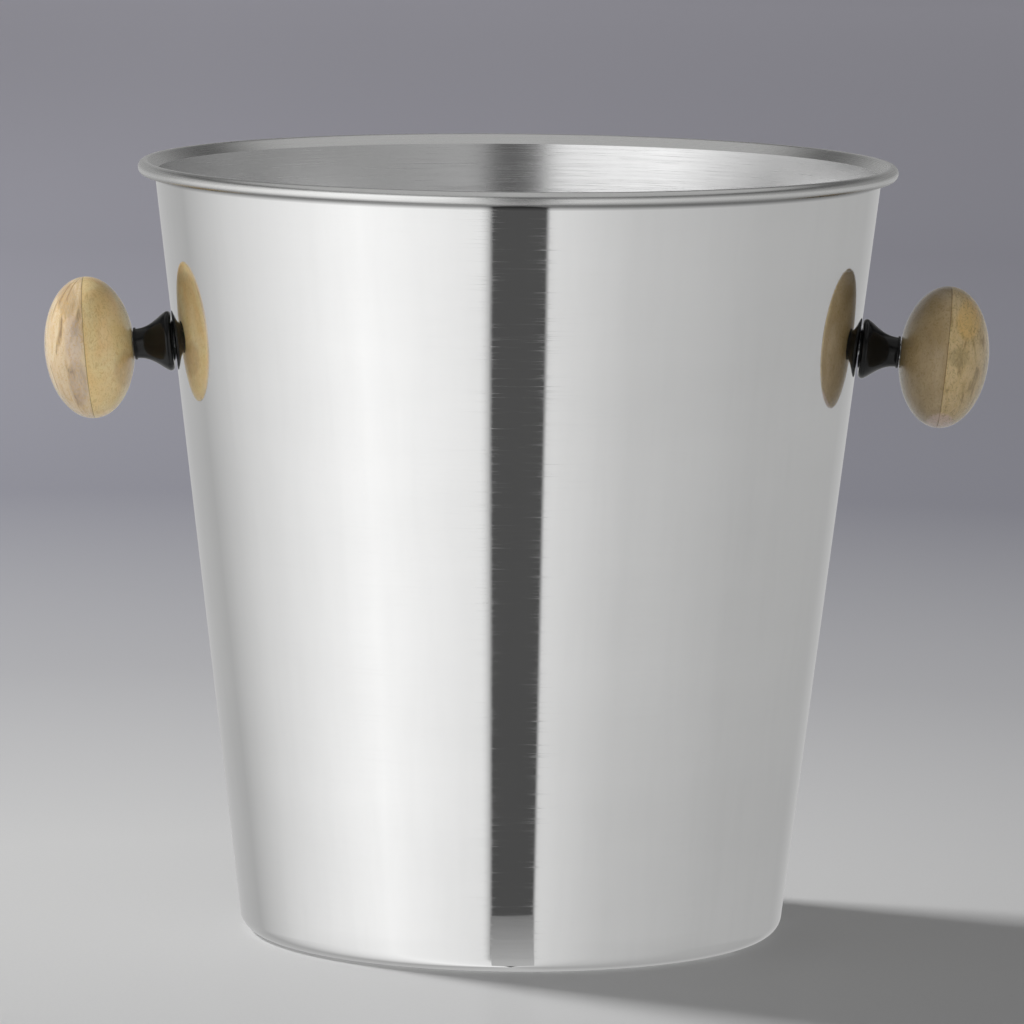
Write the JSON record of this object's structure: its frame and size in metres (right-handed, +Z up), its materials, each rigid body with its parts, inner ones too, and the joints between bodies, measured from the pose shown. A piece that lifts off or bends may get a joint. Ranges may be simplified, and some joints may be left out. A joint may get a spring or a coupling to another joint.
{
  "type": "champagne bucket",
  "caption": "Tapered polished steel bucket with a rolled rim and two horn knobs on black turned collars, for icing a bottle.",
  "frame": {"origin": "on the surface the bucket stands on, under the middle of its base", "axes": "+Z up out of the mouth; the knobs lie along X, the right one on +X as the bucket is seen from -Y"},
  "size_m": [0.2564, 0.2058, 0.21],
  "materials": {
    "bucket_steel": "polished",
    "horn": "gloss",
    "black_collar": "gloss",
    "insert_brass": "satin",
    "screw_steel": "satin",
    "seal_rubber": "matte"
  },
  "bodies": {
    "root": {"bucket_shell": "bucket_steel", "left_knob_outer_half": "horn", "left_knob_inner_half": "horn", "left_threaded_insert": "insert_brass", "left_collar": "black_collar", "left_outer_gasket": "seal_rubber", "left_seal_washer": "seal_rubber", "left_inner_washer": "screw_steel", "left_knob_screw": "screw_steel", "right_knob_outer_half": "horn", "right_knob_inner_half": "horn", "right_threaded_insert": "insert_brass", "right_collar": "black_collar", "right_outer_gasket": "seal_rubber", "right_seal_washer": "seal_rubber", "right_inner_washer": "screw_steel", "right_knob_screw": "screw_steel"}
  },
  "joints": []
}
